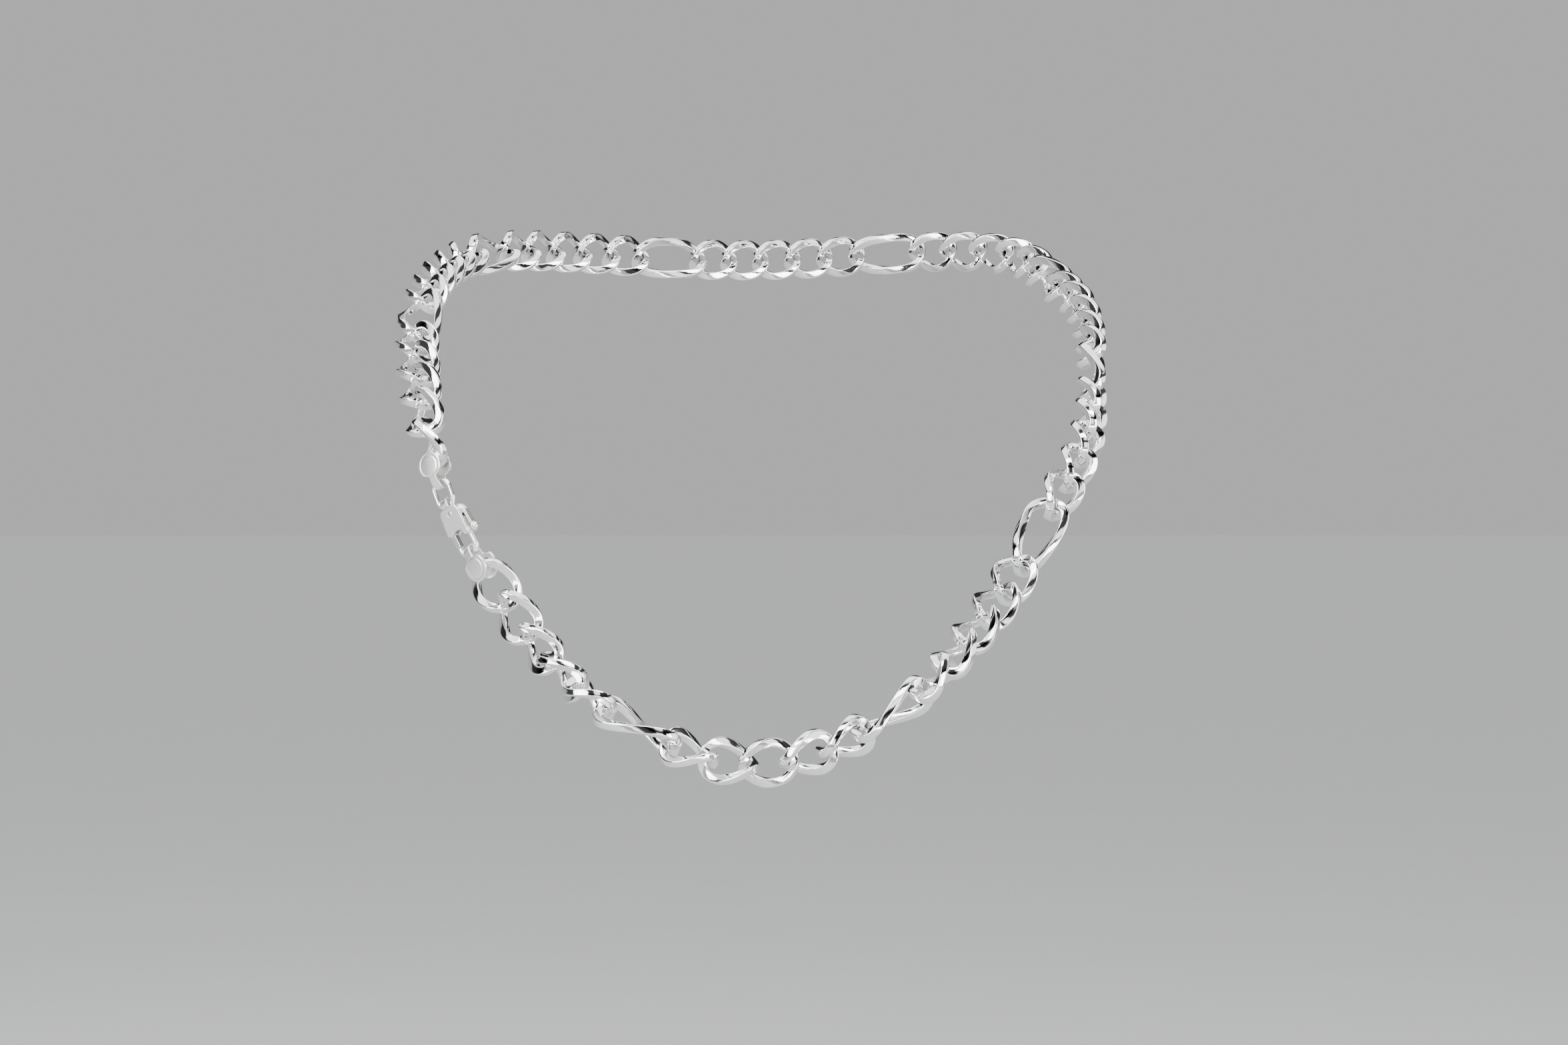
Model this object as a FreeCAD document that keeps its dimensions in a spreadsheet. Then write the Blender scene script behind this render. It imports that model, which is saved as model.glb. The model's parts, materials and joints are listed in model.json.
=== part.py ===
# Chain necklace: 59 twisted links of square wire, five short and one long in turn, closed at the
# wearer's right by a lobster clasp, an oval jump ring and two folded end caps.
# Millimetres.  +Z is up, the front of the chain faces -Y and +X is on the right as seen from the front.
# The origin is the point on the nape that the worn chain hangs from.
import FreeCAD, Part
import os
from bisect import bisect
from math import copysign, cos, hypot, pi, radians, sin

V = FreeCAD.Vector
FRONT = V(0, -1, 0)

os.makedirs("parts", exist_ok=True)
doc = FreeCAD.newDocument("chain_necklace")

# ---------------------------------------------------------------- driving dimensions
SIZES = {
    "wire": 2.0,             # square wire of every link
    "wire_edge": 0.25,       # bevel along the wire's edges
    "link_width": 10.6,      # outer width of a link
    "short_pitch": 8.7,      # chain length that a short link adds
    "long_pitch": 16.3,      # chain length that a long link adds
    "play": 0.6,             # gap between two hooked links when the chain hangs slack
    "outline_power": 2.5,    # 2 would be an ellipse, more is squarer
    "half_twist": 45.0,      # each end of a link is turned this far from its middle
    "cap_reach": 4.6,        # end cap: from the eye's contact face to the centre of its disc
    "cap_radius": 3.2,
    "cap_sheet": 0.6,
    "cap_inside": 2.9,       # gap between the two leaves at the disc
    "eye_inside": 2.5,       # gap between the leaves at the folded eye
    "strap_width": 2.0,
    "eye_play": 0.5,         # slack at each eye of the fastening
    "ring_wire": 1.1,
    "ring_inside": 4.2,      # jump ring: contact face to contact face
    "ring_width": 4.5,       # jump ring: width on the wire's centre line
    "ring_corner": 1.65,
    "clasp_reach": 11.9,     # clasp: contact face of its eye to contact face of its hook
    "clasp_thick": 3.4,
    "hook_wire": 1.4,
    "slot_width": 1.6,       # slot in the clasp body for the lever
    "lever_thick": 1.3,
    "pin_radius": 0.6,
    "pin_play": 0.05,
    "gate_radius": 7.6,      # gate tip, measured from the pin
    "gate_play": 0.2,
    "knob_radius": 0.9,
    "spring_thick": 0.2,
}

sheet = doc.addObject("Spreadsheet::Sheet", "Sizes")
for row, (alias, value) in enumerate(SIZES.items(), 1):
    sheet.set(f"A{row}", alias)
    sheet.set(f"B{row}", str(value))
    sheet.setAlias(f"B{row}", alias)
doc.recompute()


def size(alias):
    return float(sheet.get(alias))


WIRE = size("wire")
CLASP_REACH = size("clasp_reach")
RING_INSIDE = size("ring_inside")
CAP_REACH = size("cap_reach")
EYE_SLACK = size("eye_play") / 2
END_WIRE = (size("play") + WIRE) / 2     # from a junction to the centre of the link's end wire

# ---------------------------------------------------------------- the line that the chain lies on
# A closed curve through hand-placed points, from the front centre round the right side, the nape
# and the left side.  The two points beside the nape move in Y until the chain closes.
FRONT_TO_NAPE = [
    (1.5, -161, -122.1), (19.5, -159, -116.6), (35, -153, -106.8), (46.4, -143.5, -95),
    (55.8, -132, -83.4), (64.6, -123.5, -68.6), (73, -113.5, -55), (77, -99, -42.6),
    (78.6, -83.5, -32), (79.6, -67, -23), (77.5, -51, -14), (73, -34, -8), (67, -16, -1),
]
RIGHT_OF_NAPE = (38, 0, 2)
NAPE = (0, 0, 0)
LEFT_OF_NAPE = (-37, -15, 0)
NAPE_TO_FRONT = [
    (-66, -40, -1), (-78, -75, -9), (-80.5, -109, -26.6), (-78, -124, -38.5),
    (-74.5, -136.5, -52), (-68.4, -141, -69.4), (-58.4, -145, -84.8), (-47.4, -151, -99.1),
    (-34, -158, -110.6), (-17, -161, -119.1),
]


def chain_line(nape_shift):
    points = [V(*p) for p in FRONT_TO_NAPE]
    points += [V(*RIGHT_OF_NAPE) + V(0, nape_shift, 0), V(*NAPE), V(*LEFT_OF_NAPE) + V(0, nape_shift, 0)]
    points += [V(*p) for p in NAPE_TO_FRONT]
    line = Part.BSplineCurve()
    line.interpolate(Points=points, PeriodicFlag=True)
    return line


def step_along(line, place, length, direction=1):
    """The curve parameter at a straight distance of length from place."""
    period = line.LastParameter - line.FirstParameter

    def point(u):
        return line.value(line.FirstParameter + (u - line.FirstParameter) % period)

    start = point(place)
    near, far = 0.0, length * period / line.length() * 1.6
    for _ in range(40):
        middle = (near + far) / 2
        if (point(place + direction * middle) - start).Length < length:
            near = middle
        else:
            far = middle
    found = place + direction * (near + far) / 2
    return found, point(found)


# ---------------------------------------------------------------- the order of the pieces
# Each entry is a name, the length it takes on the line, and its roll about its own long axis.
SHORT = size("short_pitch")
LONG = size("long_pitch")
LONG_RIGHT = (6, 12, 18, 24)
LONG_NAPE = (1, 7)
LONG_LEFT = (5, 11, 22)
NAPE_COUNT = 8

FRONT_ROLL = 183
# Rolls from the front centre up the right side, as the links lie when worn.
RIGHT_ROLLS = [
    215, 232, 250, 272, 295, 310, 335, 357, 375, 388, 400, 408, 418, 428, 440, 452, 460, 468,
    476, 482, 490, 499, 516, 520, 523, 525,
]
NAPE_ROLLS = [527, 529, 530, 532, 533, 535, 536, 538]
LEFT_ROLLS = [540, 544, 547, 551, 554, 560, 560, 560, 560, 555, 540, 530, 545, 560, 583, 618]
LOWER_LEFT_ROLLS = [5, 25, 45, 68, 82, 94, 115, 146]
CAP_UPPER_ROLL, RING_ROLL, CLASP_ROLL, CAP_LOWER_ROLL = 32, 32, 32, 38


def pitch(number, long_ones):
    return LONG if number in long_ones else SHORT


def right_side():
    last = len(RIGHT_ROLLS)
    for count, roll in enumerate(RIGHT_ROLLS):
        number = last - count
        yield f"right_link_{number:02d}", pitch(number, LONG_RIGHT), roll


def nape_side():
    for number, roll in enumerate(NAPE_ROLLS, 1):
        yield f"nape_link_{number}", pitch(number, LONG_NAPE), roll


def left_side():
    for number, roll in enumerate(LEFT_ROLLS, 1):
        yield f"left_link_{number:02d}", pitch(number, LONG_LEFT), roll
    yield "end_cap_upper", END_WIRE + CAP_REACH, CAP_UPPER_ROLL
    yield "jump_ring", RING_INSIDE, RING_ROLL
    yield "clasp_body", CLASP_REACH, CLASP_ROLL
    yield "end_cap_lower", END_WIRE + CAP_REACH, CAP_LOWER_ROLL
    for number, roll in enumerate(LOWER_LEFT_ROLLS, len(LEFT_ROLLS) + 1):
        yield f"left_link_{number:02d}", pitch(number, LONG_LEFT), roll


def lay_out(nape_shift):
    """Every piece with its two junction points, and how far the last one is past the first."""
    line = chain_line(nape_shift)
    period = line.LastParameter - line.FirstParameter
    place, start = step_along(line, line.FirstParameter, SHORT / 2, -1)
    first = place
    pieces = []
    order = [("front_link", SHORT, FRONT_ROLL)]
    order += list(right_side()) + list(nape_side()) + list(left_side())
    for name, length, roll in order:
        place, end = step_along(line, place, length)
        pieces.append((name, length, roll, start, end))
        start = end
    return pieces, place - first - period


def close_the_chain():
    """Find the nape shift with which the last piece meets the first."""
    low, high = -12.0, 20.0
    for _ in range(30):
        shift = (low + high) / 2
        pieces, overrun = lay_out(shift)
        if overrun > 0:
            low = shift
        else:
            high = shift
    return pieces, shift


PIECES, NAPE_SHIFT = close_the_chain()
JUNCTIONS = {name: (start, end) for name, length, roll, start, end in PIECES}
ROLLS = {name: roll for name, length, roll, start, end in PIECES}


def axes_of(name):
    """The directions of a piece: along the chain, across it, and out of its face."""
    start, end = JUNCTIONS[name]
    along = (end - start).normalize()
    facing = (FRONT - along * FRONT.dot(along)).normalize()
    side = facing.cross(along)
    turn = radians(ROLLS[name])
    face = facing * cos(turn) - side * sin(turn)
    return along, face.cross(along), face


def placement(origin, along, across, face):
    return FreeCAD.Placement(FreeCAD.Matrix(
        along.x, across.x, face.x, origin.x,
        along.y, across.y, face.y, origin.y,
        along.z, across.z, face.z, origin.z,
        0, 0, 0, 1))


def middle_placement(name):
    start, end = JUNCTIONS[name]
    return placement((start + end) / 2, *axes_of(name))


def start_placement(name):
    return placement(JUNCTIONS[name][0], *axes_of(name))


# ---------------------------------------------------------------- links
SECTIONS = {SHORT: 28, LONG: 40}
OUTLINE_SAMPLES = 4000


def outline_point(angle, half_length, straight):
    """A point on the wire's centre line before the twist: a squared ellipse with straight sides."""
    power = 2 / size("outline_power")
    half_width = (size("link_width") - WIRE) / 2
    across, along = sin(angle), cos(angle)
    x = abs(along) ** power * (half_length - straight) + straight
    y = abs(across) ** power * half_width
    return copysign(x, along), copysign(y, across)


def outline(half_length, straight, count):
    """Evenly spaced points of the centre line, each with its outward normal."""
    samples = []
    for i in range(OUTLINE_SAMPLES + 1):
        angle = pi / 2 + 2 * pi * i / OUTLINE_SAMPLES + 1e-7
        samples.append(outline_point(angle, half_length, straight))
    reach = [0.0]
    for p, q in zip(samples, samples[1:]):
        reach.append(reach[-1] + hypot(q[0] - p[0], q[1] - p[1]))
    for i in range(count):
        k = bisect(reach, reach[-1] * i / count)
        before = samples[max(k - 3, 0)]
        after = samples[min(k + 2, OUTLINE_SAMPLES)]
        dx, dy = after[0] - before[0], after[1] - before[1]
        run = hypot(dx, dy)
        share = (reach[-1] * i / count - reach[k - 1]) / (reach[k] - reach[k - 1])
        x = samples[k - 1][0] + share * (samples[k][0] - samples[k - 1][0])
        y = samples[k - 1][1] + share * (samples[k][1] - samples[k - 1][1])
        yield x, y, dy / run, -dx / run


def link_solid(length):
    """A closed loft of the bevelled square section round the twisted centre line."""
    half_length = length / 2 + END_WIRE
    straight = half_length - (SHORT / 2 + END_WIRE)
    half = WIRE / 2
    flat = half - size("wire_edge")
    corners = [(half, flat), (flat, half), (-flat, half), (-half, flat),
               (-half, -flat), (-flat, -half), (flat, -half), (half, -flat)]
    wires = []
    for x, y, out_x, out_y in outline(half_length, straight, SECTIONS[length]):
        ring = []
        for radial, normal in corners:
            px, py = x + out_x * radial, y + out_y * radial
            turn = -radians(size("half_twist")) * px / half_length
            ring.append(V(px, py * cos(turn) - normal * sin(turn), py * sin(turn) + normal * cos(turn)))
        wires.append(Part.makePolygon(ring + ring[:1]))
    return Part.makeLoft(wires, True, False, True)


LINK = {SHORT: link_solid(SHORT), LONG: link_solid(LONG)}


def add_link(name):
    length = next(p[1] for p in PIECES if p[0] == name)
    link = doc.addObject("Part::Feature", name)
    link.Label = name
    link.Shape = LINK[length]
    link.Placement = middle_placement(name)
    return link


# ---------------------------------------------------------------- helpers for bodies
def new_body(name):
    body = doc.addObject("PartDesign::Body", name)
    body.Label = name
    return body


def sketch_on(body, plane, name, offset=0.0):
    sketch = body.newObject("Sketcher::SketchObject", name)
    base = next(f for f in body.Origin.OriginFeatures if f.Role == plane)
    sketch.AttachmentSupport = [(base, "")]
    sketch.MapMode = "FlatFace"
    sketch.AttachmentOffset = FreeCAD.Placement(V(0, 0, offset), FreeCAD.Rotation())
    return sketch


def draw(sketch, points):
    """A closed outline.  A point given as ("arc", x, y) is the middle of an arc to the next point."""
    spots = [p for p in points if p[0] != "arc"]
    first = V(*spots[0], 0)
    here = first
    middle = None
    for p in points[1:] + [points[0]]:
        if p[0] == "arc":
            middle = V(p[1], p[2], 0)
            continue
        there = V(*p, 0)
        if middle is None:
            sketch.addGeometry(Part.LineSegment(here, there))
        else:
            sketch.addGeometry(Part.Arc(here, middle, there))
            middle = None
        here = there


def circle(sketch, x, y, radius):
    sketch.addGeometry(Part.Circle(V(x, y, 0), V(0, 0, 1), radius))


def both_ways(feature, cell):
    """A pad or pocket that goes the same way to each side of its sketch."""
    feature.SideType = "Symmetric"
    feature.setExpression("Length", f"Sizes.{cell}")


# ---------------------------------------------------------------- end caps
# A strip folded at the eye, with a round leaf on each side of the link's end wire.
# Own frame: X from the eye's contact face towards the disc, Z out of the front leaf.
def add_end_cap(name):
    sheet_thick = size("cap_sheet")
    inner_eye = size("eye_inside") / 2
    outer_eye = inner_eye + sheet_thick
    inner_leaf = size("cap_inside") / 2
    outer_leaf = inner_leaf + sheet_thick
    radius = size("cap_radius")
    strap = size("strap_width") / 2
    bend_x = inner_eye - EYE_SLACK
    shoulder = bend_x + 1.7
    tip = CAP_REACH + radius + 1
    body = new_body(name)
    fold = sketch_on(body, "XZ_Plane", name + "_fold")
    draw(fold, [
        (tip, outer_leaf), (shoulder, outer_leaf), (bend_x, outer_eye),
        ("arc", bend_x - outer_eye, 0), (bend_x, -outer_eye), (shoulder, -outer_leaf),
        (tip, -outer_leaf), (tip, -inner_leaf), (shoulder, -inner_leaf), (bend_x, -inner_eye),
        ("arc", bend_x - inner_eye, 0), (bend_x, inner_eye), (shoulder, inner_leaf), (tip, inner_leaf),
    ])
    strip = body.newObject("PartDesign::Pad", name + "_strip")
    strip.Profile = fold
    strip.SideType = "Symmetric"
    strip.setExpression("Length", "Sizes.cap_radius * 2 + 2")
    doc.recompute()
    # the outline: a disc with a neck that narrows to the strap
    neck_x = bend_x + 1.2
    edge_x, edge_y = CAP_REACH - radius * 0.5, radius * 0.866
    far, wide = tip + 2, radius + 3
    outline_sketch = sketch_on(body, "XY_Plane", name + "_outline")
    draw(outline_sketch, [(-far, wide), (far, wide), (far, -wide), (-far, -wide)])
    draw(outline_sketch, [
        (-far / 2, strap), (neck_x, strap), (edge_x, edge_y), ("arc", CAP_REACH + radius, 0),
        (edge_x, -edge_y), (neck_x, -strap), (-far / 2, -strap),
    ])
    trim = body.newObject("PartDesign::Pocket", name + "_trim")
    trim.Profile = outline_sketch
    trim.SideType = "Symmetric"
    trim.setExpression("Length", "Sizes.cap_inside * 4")
    body.Tip = trim
    return body


# ---------------------------------------------------------------- jump ring
# Round wire bent to an oval with flattened ends.  Own frame: X along the chain from the contact
# with the upper end cap, Z out of the ring's plane.
def oval_path(half_length, half_width, corner):
    inner_x, inner_y = half_length - corner, half_width - corner
    bow = corner * cos(radians(45))
    edges = []
    for sx, sy in ((1, 1), (-1, 1), (-1, -1), (1, -1)):
        on_end = V(sx * half_length, sy * inner_y, 0)
        middle = V(sx * (inner_x + bow), sy * (inner_y + bow), 0)
        on_side = V(sx * inner_x, sy * half_width, 0)
        edges.append(Part.Arc(on_end, middle, on_side).toShape())
    for s in (1, -1):
        edges.append(Part.makeLine(V(inner_x, s * half_width, 0), V(-inner_x, s * half_width, 0)))
        edges.append(Part.makeLine(V(s * half_length, inner_y, 0), V(s * half_length, -inner_y, 0)))
    return Part.Wire(Part.__sortEdges__(edges))


def add_jump_ring():
    wire = size("ring_wire")
    half_length = RING_INSIDE / 2 + EYE_SLACK + wire / 2
    path = oval_path(half_length, size("ring_width") / 2, size("ring_corner"))
    ring = doc.addObject("Part::Feature", "jump_ring")
    ring.Label = "jump_ring"
    start = path.OrderedVertexes[0].Point
    tangent = path.OrderedEdges[0].tangentAt(path.OrderedEdges[0].FirstParameter)
    section = Part.Wire(Part.makeCircle(wire / 2, start, tangent))
    ring.Shape = Part.Wire(path.OrderedEdges).makePipeShell([section], True, False, 2)
    ring.Placement = middle_placement("jump_ring")
    return ring


# ---------------------------------------------------------------- clasp
# Own frame: X from the eye's contact face to the hook's, Y towards the thumb knob, Z out of the face.
PIN_X, PIN_Y = 3.1, 0.5
CLAW_SIDE_Y = 2.25
GATE_Y = -2.25
GATE_HALF = 0.65
EYE_RADIUS = 0.95
EYE_WALL = 0.65
EYE_LENGTH = 1.9
RELIEF_PLAY = 0.1
RELIEF_LENGTH = 9.0
HOOK_CORNER = 1.75
HOOK_START_X = 7.4
HOOK_END_X = PIN_X + 6.6
TIP_LOW_Y, TIP_HIGH_Y = -3.3, -1.0
TIP_CUT_X = 8.6
TIP_CUT_LENGTH = 3.0
KNOB_X, KNOB_Y = 8.1, 4.1
SPRING_WIDTH = 1.0


def swing_x(radius, y):
    """Where a circle about the pin is at height y, on the hook's side."""
    return PIN_X + (radius ** 2 - (y - PIN_Y) ** 2) ** 0.5


def add_clasp_body():
    hook = size("hook_wire")
    body = new_body("clasp_body")
    shell_sketch = sketch_on(body, "XY_Plane", "clasp_shell_outline")
    draw(shell_sketch, [
        (1.4, -0.9), ("arc", 1.75, -1.75), (2.6, -2.2), (6.5, -2.75), ("arc", 7.25, -2.6), (7.5, -1.9),
        (7.35, -1.3), ("arc", 7.0, 0.15), (7.6, 1.5), (8.8, 1.65), (8.8, 3.05), (3.4, 3.1),
        ("arc", 1.95, 2.6), (1.4, 1.6),
    ])
    shell = body.newObject("PartDesign::Pad", "clasp_shell")
    shell.Profile = shell_sketch
    both_ways(shell, "clasp_thick")
    doc.recompute()
    # the eye: a small loop at the top that the jump ring passes through
    eye_x = EYE_RADIUS - EYE_SLACK
    eye_sketch = sketch_on(body, "XZ_Plane", "clasp_eye_outline")
    circle(eye_sketch, eye_x, 0, EYE_RADIUS + EYE_WALL)
    circle(eye_sketch, eye_x, 0, EYE_RADIUS)
    eye = body.newObject("PartDesign::Pad", "clasp_eye")
    eye.Profile = eye_sketch
    eye.SideType = "Symmetric"
    eye.Length = EYE_LENGTH
    doc.recompute()
    # room for the ring's wire behind the eye
    relief_sketch = sketch_on(body, "XZ_Plane", "clasp_relief_outline")
    circle(relief_sketch, eye_x, 0, EYE_RADIUS + RELIEF_PLAY)
    relief = body.newObject("PartDesign::Pocket", "clasp_relief")
    relief.Profile = relief_sketch
    relief.SideType = "Symmetric"
    relief.Length = RELIEF_LENGTH
    doc.recompute()
    # the hook: down the right side, across the bottom and up to the gate
    bottom = CLASP_REACH + EYE_SLACK + hook / 2
    corner = HOOK_CORNER
    bow = corner * cos(radians(45))
    path = sketch_on(body, "XY_Plane", "clasp_hook_path")
    right_y, left_y = CLAW_SIDE_Y, GATE_Y
    spots = [
        (V(HOOK_START_X, right_y, 0), V(bottom - corner, right_y, 0)),
        (V(bottom, right_y - corner, 0), V(bottom, left_y + corner, 0)),
        (V(bottom - corner, left_y, 0), V(HOOK_END_X, left_y, 0)),
    ]
    middles = [
        V(bottom - corner + bow, right_y - corner + bow, 0),
        V(bottom - corner + bow, left_y + corner - bow, 0),
    ]
    for a, b in spots:
        path.addGeometry(Part.LineSegment(a, b))
    for m, (a, b), (c, d) in zip(middles, spots, spots[1:]):
        path.addGeometry(Part.Arc(b, m, c))
    profile = body.newObject("Sketcher::SketchObject", "clasp_hook_section")
    side_plane = next(f for f in body.Origin.OriginFeatures if f.Role == "YZ_Plane")
    profile.AttachmentSupport = [(side_plane, "")]
    profile.MapMode = "FlatFace"
    profile.AttachmentOffset = FreeCAD.Placement(V(0, 0, HOOK_START_X), FreeCAD.Rotation())
    circle(profile, right_y, 0, hook / 2)
    doc.recompute()
    claw = body.newObject("PartDesign::AdditivePipe", "clasp_hook")
    claw.Profile = profile
    claw.Spine = (path, [f"Edge{i + 1}" for i in range(5)])
    doc.recompute()
    # the slot that the lever turns in, open to the left, to the right and downwards
    slot_sketch = sketch_on(body, "XY_Plane", "clasp_slot_outline")
    draw(slot_sketch, [
        (2.1, -3.4), (1.7, 1.0), (1.2, 1.15), (1.2, 3.6), (5.0, 3.6), (5.0, 1.35), (7.9, 1.35),
        (7.9, -3.4),
    ])
    slot = body.newObject("PartDesign::Pocket", "clasp_slot")
    slot.Profile = slot_sketch
    both_ways(slot, "slot_width")
    doc.recompute()
    # the pin's hole, and the hook's tip cut round the pin so that the gate swings clear of it
    hole_sketch = sketch_on(body, "XY_Plane", "clasp_pin_hole")
    circle(hole_sketch, PIN_X, PIN_Y, size("pin_radius"))
    hole = body.newObject("PartDesign::Pocket", "clasp_hole")
    hole.Profile = hole_sketch
    hole.SideType = "Symmetric"
    hole.setExpression("Length", "Sizes.clasp_thick + 1")
    doc.recompute()
    low, high = TIP_LOW_Y, TIP_HIGH_Y
    middle = (low + high) / 2
    tip_radius = size("gate_radius") + size("gate_play")
    tip_sketch = sketch_on(body, "XY_Plane", "clasp_tip_cut")
    draw(tip_sketch, [
        (TIP_CUT_X, low), (swing_x(tip_radius, low), low), ("arc", swing_x(tip_radius, middle), middle),
        (swing_x(tip_radius, high), high), (TIP_CUT_X, high),
    ])
    tip_cut = body.newObject("PartDesign::Pocket", "clasp_tip")
    tip_cut.Profile = tip_sketch
    tip_cut.SideType = "Symmetric"
    tip_cut.Length = TIP_CUT_LENGTH
    body.Tip = tip_cut
    return body


def add_clasp_lever():
    """One plate: the gate on the left, the hub on the pin, and the thumb arm with its knob."""
    body = new_body("clasp_lever")
    plate_sketch = sketch_on(body, "XY_Plane", "lever_outline")
    gate = size("gate_radius")
    outer, inner = GATE_Y - GATE_HALF, GATE_Y + GATE_HALF
    draw(plate_sketch, [
        (PIN_X - 0.9, PIN_Y - 1.0), (6.2, outer), (swing_x(gate, outer), outer),
        ("arc", swing_x(gate, GATE_Y), GATE_Y), (swing_x(gate, inner), inner), (6.4, inner),
        (4.4, PIN_Y - 0.4), (4.3, 3.4), (7.6, 3.6), (7.6, 4.3), (3.6, 4.1), (2.4, 3.5),
        (PIN_X - 1.1, PIN_Y + 0.6),
    ])
    circle(plate_sketch, PIN_X, PIN_Y, size("pin_radius") + size("pin_play"))
    plate = body.newObject("PartDesign::Pad", "lever_plate")
    plate.Profile = plate_sketch
    both_ways(plate, "lever_thick")
    doc.recompute()
    knob = body.newObject("PartDesign::AdditiveSphere", "lever_knob")
    knob.setExpression("Radius", "Sizes.knob_radius")
    knob.AttachmentOffset = FreeCAD.Placement(V(KNOB_X, KNOB_Y, 0), FreeCAD.Rotation())
    knob.AttachmentSupport = [(next(f for f in body.Origin.OriginFeatures if f.Role == "XY_Plane"), "")]
    knob.MapMode = "FlatFace"
    body.Tip = knob
    return body


def add_clasp_pin():
    pin = doc.addObject("Part::Cylinder", "clasp_pin")
    pin.Label = "clasp_pin"
    pin.setExpression("Radius", "Sizes.pin_radius")
    pin.setExpression("Height", "Sizes.clasp_thick + 0.2")
    return pin


def add_clasp_spring():
    """A bowed leaf between the clasp's web and the gate."""
    body = new_body("clasp_spring")
    leaf_sketch = sketch_on(body, "XY_Plane", "spring_outline")
    thick = size("spring_thick")
    draw(leaf_sketch, [
        (5.35, 1.3), ("arc", 6.0, 0.4), (5.6, -0.6), (5.77, -0.7),
        ("arc", 6.0 + thick, 0.4), (5.35 + thick, 1.3),
    ])
    leaf = body.newObject("PartDesign::Pad", "spring_leaf")
    leaf.Profile = leaf_sketch
    leaf.SideType = "Symmetric"
    leaf.Length = SPRING_WIDTH
    body.Tip = leaf
    return body


# ---------------------------------------------------------------- the assembly
nodes = []
nape_group = []
for piece in PIECES:
    piece_name = piece[0]
    if piece_name.startswith("nape_link_"):
        nape_group.append(add_link(piece_name))
    elif "link" in piece_name:
        nodes.append(add_link(piece_name))

nape_links = doc.addObject("Part::Compound", "nape_links")
nape_links.Label = "nape_links"
nape_links.Links = nape_group
nodes.append(nape_links)

cap_upper = add_end_cap("end_cap_upper")
along, across, face = axes_of("end_cap_upper")
cap_upper.Placement = placement(JUNCTIONS["end_cap_upper"][1], along * -1, across * -1, face)
cap_lower = add_end_cap("end_cap_lower")
cap_lower.Placement = start_placement("end_cap_lower")
nodes += [cap_upper, cap_lower, add_jump_ring()]

clasp_place = start_placement("clasp_body")
clasp_body = add_clasp_body()
clasp_body.Placement = clasp_place
clasp_lever = add_clasp_lever()
clasp_lever.Placement = clasp_place
clasp_spring = add_clasp_spring()
clasp_spring.Placement = clasp_place
clasp_pin = add_clasp_pin()
pin_half = (size("clasp_thick") + 0.2) / 2
clasp_pin.Placement = clasp_place * FreeCAD.Placement(V(PIN_X, PIN_Y, -pin_half), FreeCAD.Rotation())
nodes += [clasp_body, clasp_lever, clasp_spring, clasp_pin]

# ---------------------------------------------------------------- check and write
doc.recompute()
for item in doc.Objects:
    if "Invalid" in item.State or "Error" in item.State:
        raise RuntimeError(f"{item.Label} failed: {item.State}")
for node in nodes:
    if node.Shape.isNull() or not node.Shape.isValid():
        raise RuntimeError(f"{node.Label} has no valid shape")
for node in nodes:
    node.Shape.exportStep(f"parts/{node.Label}.step")
print(f"{len(nodes)} nodes, nape shift {NAPE_SHIFT:.2f} mm")
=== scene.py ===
# The chain necklace, worn: polished links of twisted square wire, a lobster clasp, an oval jump ring
# and two folded end caps.  Metres throughout, in the same frame as the CAD model.
import json
from math import copysign, cos, pi, radians, sin

import bpy
import numpy as np
from mathutils import Euler, Matrix, Vector


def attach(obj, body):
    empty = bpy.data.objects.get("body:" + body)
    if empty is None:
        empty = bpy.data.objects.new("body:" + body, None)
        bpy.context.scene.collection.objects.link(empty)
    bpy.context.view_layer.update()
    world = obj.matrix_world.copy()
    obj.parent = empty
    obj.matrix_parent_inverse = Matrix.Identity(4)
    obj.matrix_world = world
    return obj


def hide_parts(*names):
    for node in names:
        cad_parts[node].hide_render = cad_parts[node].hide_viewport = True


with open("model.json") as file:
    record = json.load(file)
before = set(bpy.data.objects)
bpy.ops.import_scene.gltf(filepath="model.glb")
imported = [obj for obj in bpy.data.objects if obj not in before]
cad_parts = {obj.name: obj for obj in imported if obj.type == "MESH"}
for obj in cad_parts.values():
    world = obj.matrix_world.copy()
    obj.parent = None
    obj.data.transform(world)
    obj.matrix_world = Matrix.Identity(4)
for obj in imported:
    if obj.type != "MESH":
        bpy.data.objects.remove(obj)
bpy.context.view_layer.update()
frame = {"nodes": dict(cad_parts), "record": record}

MM = 0.001

# ---------------------------------------------------------------- sizes of the metalwork
WIRE = 2.0 * MM
LINK_HALF_WIDTH = 4.3 * MM
SHORT_HALF_LENGTH = 5.65 * MM
LONG_HALF_LENGTH = 9.45 * MM
OUTLINE_POWER = 2.5
HALF_TWIST = radians(45)
EDGE_ROUND = 0.32 * MM
CAP_RADIUS = 3.2 * MM
CAP_OUTER_FACE = 1.75 * MM      # past this distance from the middle plane a point is on a leaf's outside
CAP_DOME = 0.22 * MM
LONG_LINK_LENGTH = 16 * MM       # a link longer than this is a long one
WELD_DISTANCE = 1e-7
FLOOR_HEIGHT = -0.24
CAMERA_PLACE = (0.0048, -0.8363, -0.070)
CHAIN_MIDDLE = (0, -0.08, -0.06)
GROOVE_PLACE, GROOVE_WIDTH, GROOVE_DEPTH = 0.74, 0.055, 0.09 * MM

nodes = frame["nodes"]
body_of_node = {}
for body_name, members in frame["record"]["behaviour"]["bodies"].items():
    for member in members:
        body_of_node[member] = body_name


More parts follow.
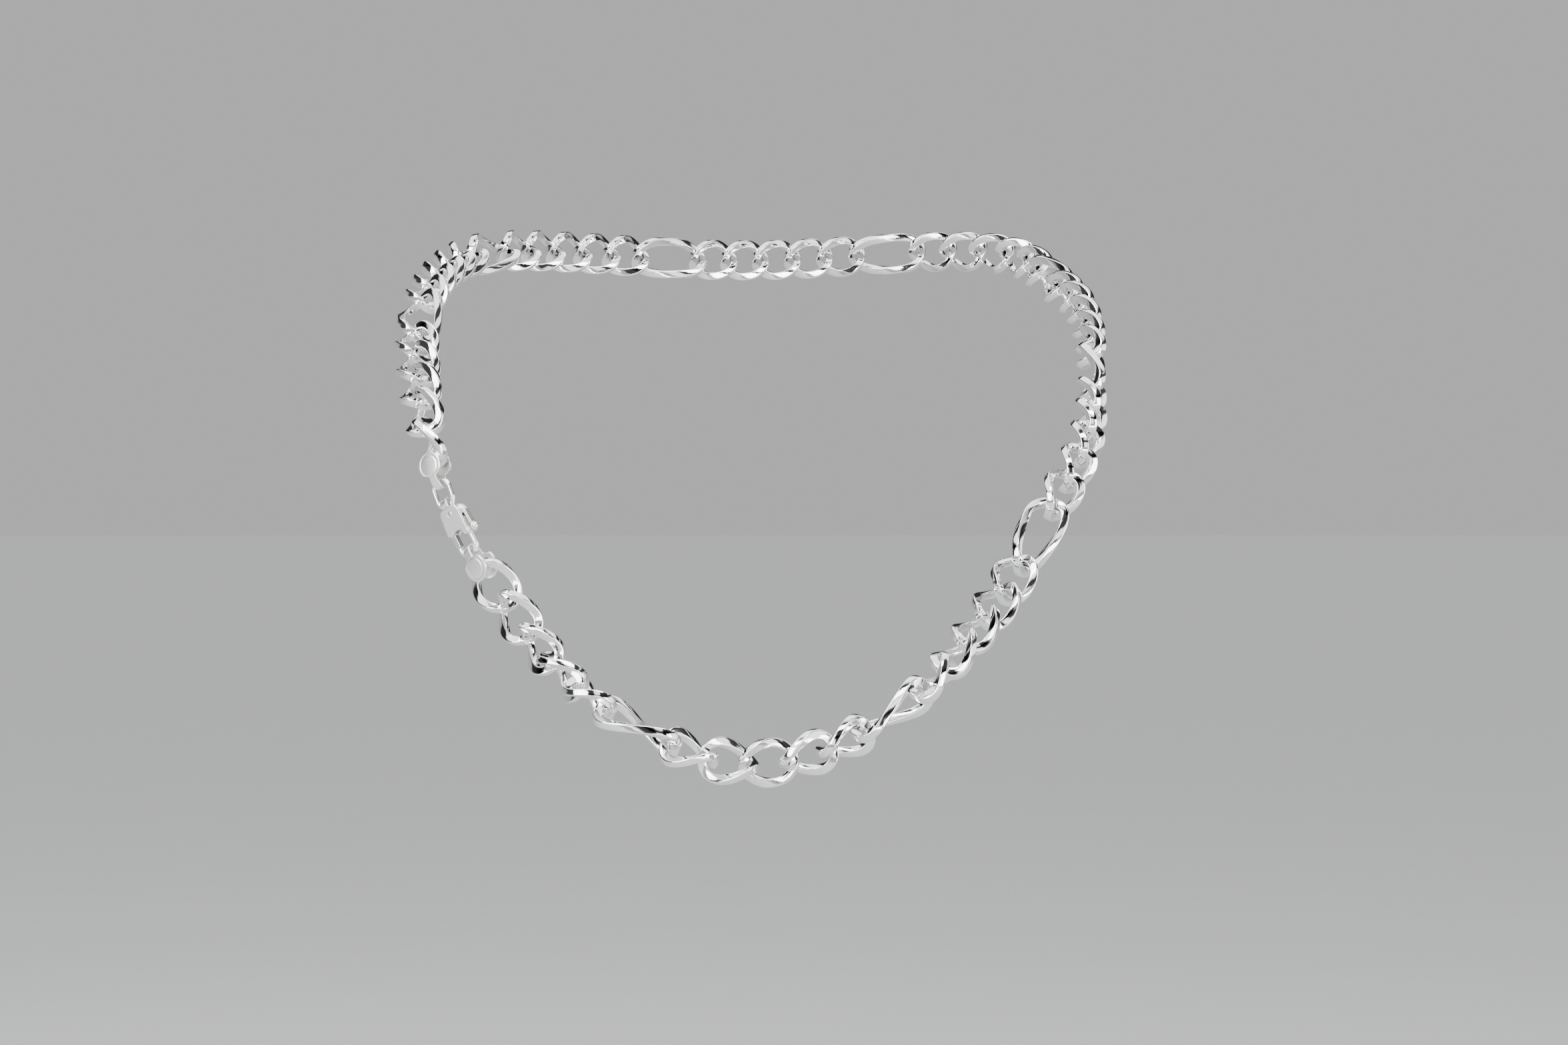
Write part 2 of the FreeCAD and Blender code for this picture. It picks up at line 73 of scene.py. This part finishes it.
# ---------------------------------------------------------------- node wiring
class Wire:
    """A shader socket that can be used in sums."""

    def __init__(self, tree, socket):
        self.tree = tree
        self.socket = socket

    def join(self, operation, other):
        return self.tree.add("ShaderNodeMath", {"operation": operation}, {0: self, 1: other})

    def __add__(self, other):
        return self.join("ADD", other)

    def __mul__(self, other):
        return self.join("MULTIPLY", other)


class Finish:
    """A material under construction."""

    def __init__(self, name):
        self.material = bpy.data.materials.new(name)
        self.material.use_nodes = True
        self.nodes = self.material.node_tree.nodes
        self.links = self.material.node_tree.links
        self.shader = self.nodes["Principled BSDF"]

    def add(self, kind, settings=None, inputs=None, output=0):
        node = self.nodes.new(kind)
        for name, value in (settings or {}).items():
            if name == "stops":
                ramp = node.color_ramp
                for place, shade in value[2:]:
                    ramp.elements.new(place)
                for element, (place, shade) in zip(ramp.elements, sorted(value)):
                    element.position = place
                    element.color = (shade, shade, shade, 1) if isinstance(shade, float) else (*shade, 1)
            else:
                setattr(node, name, value)
        for key, value in (inputs or {}).items():
            self.feed(node.inputs[key], value)
        return Wire(self, node.outputs[output])

    def feed(self, socket, value):
        if isinstance(value, Wire):
            self.links.new(value.socket, socket)
        else:
            socket.default_value = value

    def set(self, **values):
        for name, value in values.items():
            self.feed(self.shader.inputs[name.replace("_", " ")], value)

    def place(self, scale=(1, 1, 1)):
        coordinates = self.add("ShaderNodeTexCoord", output=3)
        return self.add("ShaderNodeMapping", {}, {"Vector": coordinates, "Scale": scale})

    def noise(self, where, scale, detail=3.0, roughness=0.5):
        return self.add("ShaderNodeTexNoise", {}, {
            "Vector": where, "Scale": scale, "Detail": detail, "Roughness": roughness})

    def ramp(self, value, *stops):
        return self.add("ShaderNodeValToRGB", {"stops": list(stops)}, {"Fac": value})

    def mix(self, share, low, high):
        node = self.nodes.new("ShaderNodeMix")
        node.data_type = "RGBA"
        for key, value in (("Factor", share), ("A", low), ("B", high)):
            socket = next(s for s in node.inputs if s.name == key and s.enabled)
            self.feed(socket, value if isinstance(value, (Wire, float)) else (*value, 1))
        return Wire(self, next(s for s in node.outputs if s.enabled))

    def bump(self, height, strength, distance):
        return self.add("ShaderNodeBump", {}, {
            "Height": height, "Strength": strength, "Distance": distance})


# ---------------------------------------------------------------- finishes
def polished_silver(name, tint, film_and_shade_tone, roughness, scratch):
    """Hand-polished silver: broad soft waves, fine wheel marks, a random grey film, and painted shade
    darkening the hollows.
    """
    finish = Finish(name)
    where = finish.place()
    film = finish.noise(where, 420.0, 4.0, 0.6)
    wave = finish.noise(where, 330.0, 1.5, 0.35)
    fine = finish.noise(finish.place((1, 1, 5)), 1800.0, 3.0, 0.65)
    hollow = finish.add("ShaderNodeNewGeometry", output="Pointiness")
    # Painted shade: where the surface is concave (low pointiness), the colour goes to the darker tone,
    # darkening the hollows.
    hollow_shade = finish.ramp(hollow, (0.40, 1.0), (0.48, 0.0))
    # Share of the darker tone: a random grey film, the metal's own tone, plus the painted shade in the
    # hollows.
    share = finish.ramp(film, (0.55, 0.0), (0.85, 1.0)) * 0.3 + hollow_shade * 0.6
    height = wave * 0.8 + fine * scratch
    finish.set(
        Base_Color=finish.mix(share, tint, film_and_shade_tone),
        Roughness=share * 0.14 + fine * 0.05 + roughness,
        Metallic=1.0,
        Normal=finish.bump(height, 0.22, 0.0002),
    )
    return finish.material


# The second tone of each silver serves its random grey film and the painted shade in its hollows.
LINK_SILVER = polished_silver("link_silver", (0.95, 0.95, 0.945), (0.42, 0.43, 0.44), 0.035, 0.06)
CLASP_SILVER = polished_silver("clasp_silver", (0.97, 0.965, 0.95), (0.66, 0.66, 0.65), 0.22, 0.18)
SATIN_SILVER = polished_silver("satin_silver", (0.98, 0.975, 0.96), (0.75, 0.75, 0.74), 0.34, 0.2)
INNER_SILVER = polished_silver("inner_silver", (0.80, 0.78, 0.72), (0.45, 0.43, 0.38), 0.24, 0.25)


# ---------------------------------------------------------------- making and finishing a piece
def only(*objects):
    bpy.ops.object.select_all(action="DESELECT")
    for item in objects:
        item.select_set(True)
    bpy.context.view_layer.objects.active = objects[0]


def apply_modifier(piece, kind, name, **settings):
    only(piece)
    modifier = piece.modifiers.new(name, kind)
    for key, value in settings.items():
        setattr(modifier, key, value)
    bpy.ops.object.modifier_apply(modifier=modifier.name)


def coordinates(mesh):
    flat = np.zeros(len(mesh.vertices) * 3, np.float32)
    mesh.vertices.foreach_get("co", flat)
    return flat.reshape(-1, 3).astype(float)


def put_coordinates(mesh, points):
    mesh.vertices.foreach_set("co", np.asarray(points, np.float32).ravel())
    mesh.update()


def outward(piece):
    only(piece)
    bpy.ops.object.mode_set(mode="EDIT")
    bpy.ops.mesh.select_all(action="SELECT")
    bpy.ops.mesh.normals_make_consistent(inside=False)
    bpy.ops.object.mode_set(mode="OBJECT")


def finish_piece(piece, material, body, replaced):
    only(piece)
    bpy.ops.object.shade_smooth_by_angle(angle=radians(180))
    piece.data.materials.clear()
    piece.data.materials.append(material)
    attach(piece, body)
    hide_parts(replaced)
    return piece


def copy_at(master, name, turn):
    """A copy of a master with its own mesh, its place baked into the mesh."""
    piece = bpy.data.objects.new(name, master.data.copy())
    bpy.context.scene.collection.objects.link(piece)
    piece.data.transform(turn)
    return piece


# ---------------------------------------------------------------- where a link lies
def link_turn(points, faces):
    """The place of a link, found from its solid: a link is symmetric about its own three axes."""
    corners = points[faces]
    cross = np.cross(corners[:, 1] - corners[:, 0], corners[:, 2] - corners[:, 0])
    area = np.linalg.norm(cross, axis=1)
    middle = corners.mean(axis=1)
    centre = (middle * area[:, None]).sum(0) / area.sum()
    off = middle - centre
    spread = (off * area[:, None]).T @ off
    axes = np.linalg.eigh(spread)[1]
    along, across = axes[:, 2], axes[:, 1]
    face = np.cross(along, across)
    turn = Matrix.Identity(4)
    for column, axis in enumerate((along, across, face)):
        for row in range(3):
            turn[row][column] = float(axis[row])
    for row in range(3):
        turn[row][3] = float(centre[row])
    length = (off @ along).max() - (off @ along).min()
    return turn, length


def solids_of(node):
    """The separate solids of a CAD node as (points, triangles)."""
    only(nodes[node])
    bpy.ops.object.duplicate()
    copy = bpy.context.active_object
    copy.parent = None
    bpy.ops.object.mode_set(mode="EDIT")
    bpy.ops.mesh.select_all(action="SELECT")
    bpy.ops.mesh.remove_doubles(threshold=WELD_DISTANCE)
    bpy.ops.mesh.separate(type="LOOSE")
    bpy.ops.object.mode_set(mode="OBJECT")
    parts = list(bpy.context.selected_objects)
    found = []
    for part in parts:
        part.data.calc_loop_triangles()
        triangles = np.array([t.vertices for t in part.data.loop_triangles])
        found.append((coordinates(part.data), triangles))
        bpy.data.objects.remove(part)
    return found


# ---------------------------------------------------------------- links
ROUND_STEPS = 3
FLAT_STEPS = 2


def wire_section():
    """The square wire's outline with rounded edges and very slightly crowned faces."""
    half, edge = WIRE / 2, EDGE_ROUND
    outline = []
    for quarter in range(4):
        start = pi / 2 * quarter
        for step in range(ROUND_STEPS + 1):
            angle = start + pi / 2 * step / ROUND_STEPS
            x = copysign(half - edge, cos(start + pi / 4)) + edge * cos(angle)
            y = copysign(half - edge, sin(start + pi / 4)) + edge * sin(angle)
            outline.append((x, y))
        x0, y0 = outline[-1]
        turn = start + pi / 2
        for step in range(1, FLAT_STEPS + 1):
            share = step / (FLAT_STEPS + 1)
            run = 2 * (half - edge) * share
            crown = 0.03 * MM * sin(pi * share)
            outline.append((
                x0 - run * sin(turn) + crown * cos(turn),
                y0 + run * cos(turn) + crown * sin(turn)))
    return outline


def squared_ellipse(half_length, count):
    straight = half_length - SHORT_HALF_LENGTH
    power = 2 / OUTLINE_POWER
    angles = np.linspace(0, 2 * pi, 4001)
    along, across = np.cos(angles), np.sin(angles)
    x = np.sign(along) * (np.abs(along) ** power * SHORT_HALF_LENGTH + straight)
    y = np.sign(across) * np.abs(across) ** power * LINK_HALF_WIDTH
    reach = np.concatenate([[0], np.cumsum(np.hypot(np.diff(x), np.diff(y)))])
    spots = np.linspace(0, reach[-1], count, endpoint=False)
    x, y = np.interp(spots, reach, x), np.interp(spots, reach, y)
    run_x, run_y = np.roll(x, -1) - np.roll(x, 1), np.roll(y, -1) - np.roll(y, 1)
    run = np.hypot(run_x, run_y)
    return x, y, run_y / run, -run_x / run


def link_master(name, half_length, count):
    """A ring of wire, squared, drawn out to the link's outline and twisted end from end."""
    section = wire_section()
    bpy.ops.object.select_all(action="DESELECT")
    bpy.ops.mesh.primitive_torus_add(
        major_segments=count, minor_segments=len(section),
        major_radius=SHORT_HALF_LENGTH, minor_radius=WIRE / 2)
    master = bpy.context.active_object
    master.name = name
    points = []
    for x, y, out_x, out_y in zip(*squared_ellipse(half_length, count)):
        for radial, normal in section:
            px, py = x + out_x * radial, y + out_y * radial
            turn = -HALF_TWIST * px / half_length
            points.append((px, py * cos(turn) - normal * sin(turn), py * sin(turn) + normal * cos(turn)))
    put_coordinates(master.data, points)
    outward(master)
    only(master)
    bpy.ops.object.shade_smooth_by_angle(angle=radians(60))
    apply_modifier(
        master, "WEIGHTED_NORMAL", "even_faces", mode="FACE_AREA", weight=80, keep_sharp=False)
    return master


SHORT_LINK = link_master("short_link_master", SHORT_HALF_LENGTH, 96)
LONG_LINK = link_master("long_link_master", LONG_HALF_LENGTH, 132)


def lay_link(name, solid, node):
    turn, length = link_turn(*solid)
    master = LONG_LINK if length > LONG_LINK_LENGTH else SHORT_LINK
    piece = copy_at(master, name, turn)
    piece.data.materials.append(LINK_SILVER)
    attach(piece, body_of_node[node])
    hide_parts(node)


for node in sorted(nodes):
    if node == "nape_links":
        for number, solid in enumerate(solids_of(node), 1):
            lay_link(f"nape_link_{number}", solid, node)
    elif "link" in node:
        lay_link(f"{node}_wire", solids_of(node)[0], node)
for master in (SHORT_LINK, LONG_LINK):
    bpy.data.objects.remove(master)


# ---------------------------------------------------------------- fastening, softened from its solids
def softened(node, name, grain, rounds, material):
    """A cast piece: its solid with every edge melted to a small radius."""
    only(nodes[node])
    bpy.ops.object.duplicate()
    piece = bpy.context.active_object
    piece.parent = None
    for key in list(piece.keys()):
        del piece[key]
    piece.name = name
    bpy.ops.object.mode_set(mode="EDIT")
    bpy.ops.mesh.select_all(action="SELECT")
    bpy.ops.mesh.remove_doubles(threshold=WELD_DISTANCE)
    bpy.ops.object.mode_set(mode="OBJECT")
    apply_modifier(piece, "REMESH", "even_grain", mode="VOXEL", voxel_size=grain)
    apply_modifier(piece, "SMOOTH", "melted_edges", factor=0.5, iterations=rounds)
    return finish_piece(piece, material, body_of_node[node], node)


def domed_cap(node, name):
    """A folded cap whose two round leaves are lightly domed, with one plain groove round each."""
    solid_points, triangles = solids_of(node)[0]
    piece = softened(node, name, 0.09 * MM, 4, SATIN_SILVER)
    points = coordinates(piece.data)
    turn, length = link_turn(solid_points, triangles)
    axes = np.array(turn.to_3x3())
    centre = np.array(turn.translation)
    along, face, across = axes.T
    reach = (solid_points - centre) @ along
    if abs(reach.min()) > reach.max():
        along, reach = -along, -reach
    wide = np.abs((solid_points - centre) @ across)
    if wide[reach > 0].max() < wide[reach < 0].max():
        along, reach = -along, -reach
    middle = centre + along * (reach.max() - CAP_RADIUS)
    off = points - middle
    out = off @ face
    radius = np.hypot(off @ along, off @ across) / CAP_RADIUS
    lift = CAP_DOME * np.clip(1 - radius ** 2, 0, 1)
    lift -= GROOVE_DEPTH * np.exp(-((radius - GROOVE_PLACE) / GROOVE_WIDTH) ** 2)
    lift *= np.abs(out) > CAP_OUTER_FACE
    put_coordinates(piece.data, points + (np.sign(out) * lift)[:, None] * face)


domed_cap("end_cap_upper", "end_cap_upper_leafs")
domed_cap("end_cap_lower", "end_cap_lower_leafs")
softened("clasp_body", "clasp_cast_body", 0.09 * MM, 7, SATIN_SILVER)
softened("clasp_lever", "clasp_gate_lever", 0.08 * MM, 4, CLASP_SILVER)
softened("jump_ring", "jump_ring_wire", 0.08 * MM, 3, CLASP_SILVER)
softened("clasp_pin", "clasp_rivet", 0.08 * MM, 3, CLASP_SILVER)
softened("clasp_spring", "clasp_leaf_spring", 0.06 * MM, 1, INNER_SILVER)


# ---------------------------------------------------------------- floor, light and camera
def floor():
    bpy.ops.object.select_all(action="DESELECT")
    bpy.ops.mesh.primitive_plane_add(size=80, location=(0, 0, FLOOR_HEIGHT))
    ground = bpy.context.active_object
    ground.name = "floor"
    finish = Finish("pale_floor")
    grain = finish.noise(finish.place(), 30.0, 4.0)
    finish.set(
        Base_Color=finish.mix(grain, (0.47, 0.475, 0.485), (0.49, 0.495, 0.505)),
        Roughness=0.9,
        Specular_IOR_Level=0.0,
    )
    ground.data.materials.append(finish.material)


def soft_lamp(name, place, power, width, height):
    data = bpy.data.lights.new(name, "AREA")
    data.energy = power
    data.shape = "RECTANGLE"
    data.size, data.size_y = width, height
    light = bpy.data.objects.new(name, data)
    bpy.context.scene.collection.objects.link(light)
    light.location = place
    light.rotation_euler = (Vector(CHAIN_MIDDLE) - Vector(place)).to_track_quat("-Z", "Y").to_euler()


def ramp_of(tree, value, *stops):
    band = tree.nodes.new("ShaderNodeValToRGB")
    tree.links.new(value, band.inputs["Fac"])
    for place, shade in stops[2:]:
        band.color_ramp.elements.new(place)
    for element, (place, shade) in zip(band.color_ramp.elements, stops):
        element.position = place
        element.color = (shade, shade, shade, 1)
    return band.outputs["Color"]


def mixed(tree, kind, share, first, second):
    """Two shades mixed or multiplied."""
    node = tree.nodes.new("ShaderNodeMix")
    node.data_type = "RGBA"
    node.blend_type = kind
    for key, value in (("Factor", share), ("A", first), ("B", second)):
        socket = next(s for s in node.inputs if s.name == key and s.enabled)
        if isinstance(value, float):
            socket.default_value = value
        else:
            tree.links.new(value, socket)
    return next(s for s in node.outputs if s.enabled)


def sky():
    """A pale backdrop behind the chain, and a dark room with upright bright panels in front of it."""
    world = bpy.data.worlds.new("studio")
    bpy.context.scene.world = world
    world.use_nodes = True
    tree = world.node_tree
    where = tree.nodes.new("ShaderNodeTexCoord")
    split = tree.nodes.new("ShaderNodeSeparateXYZ")
    tree.links.new(where.outputs["Generated"], split.inputs["Vector"])
    across = tree.nodes.new("ShaderNodeMapRange")
    across.inputs["From Min"].default_value = -1.0
    tree.links.new(split.outputs["X"], across.inputs["Value"])
    backdrop = ramp_of(
        tree, split.outputs["Z"], (0.0, 0.182), (0.22, 0.182), (0.32, 0.01), (0.62, 0.01), (0.7, 0.9))
    panels = ramp_of(
        tree, across.outputs["Result"], (0.0, 0.02), (0.12, 0.02), (0.15, 0.95), (0.33, 0.85),
        (0.36, 0.02), (0.5, 0.02), (0.53, 0.7), (0.66, 0.8), (0.69, 0.015), (0.86, 0.02), (0.89, 0.8))
    heights = ramp_of(
        tree, split.outputs["Z"], (0.0, 1.0), (0.42, 1.0), (0.46, 0.03), (0.6, 0.03), (0.66, 1.0))
    room = mixed(tree, "MULTIPLY", 1.0, panels, heights)
    behind = ramp_of(tree, split.outputs["Y"], (0.0, 0.0), (0.25, 1.0))
    tree.links.new(mixed(tree, "MIX", behind, room, backdrop), tree.nodes["Background"].inputs["Color"])
    tree.nodes["Background"].inputs["Strength"].default_value = 2.8


def lights():
    soft_lamp("key", (-0.36, -0.5, 0.1), power=3.4, width=0.34, height=0.4)
    soft_lamp("fill", (0.38, -0.5, -0.02), power=1.9, width=0.2, height=0.36)
    soft_lamp("top", (0.0, -0.32, 0.36), power=2.2, width=0.5, height=0.16)
    soft_lamp("low", (0.1, -0.6, -0.2), power=0.6, width=0.4, height=0.06)
    sky()


def camera():
    data = bpy.data.cameras.new("view")
    data.sensor_width = 36
    data.lens = 71.94
    data.clip_start = 0.01
    data.clip_end = 50
    lens = bpy.data.objects.new("view", data)
    bpy.context.scene.collection.objects.link(lens)
    lens.location = CAMERA_PLACE
    lens.rotation_euler = Euler((radians(90), 0, 0))
    bpy.context.scene.camera = lens


floor()
lights()
camera()
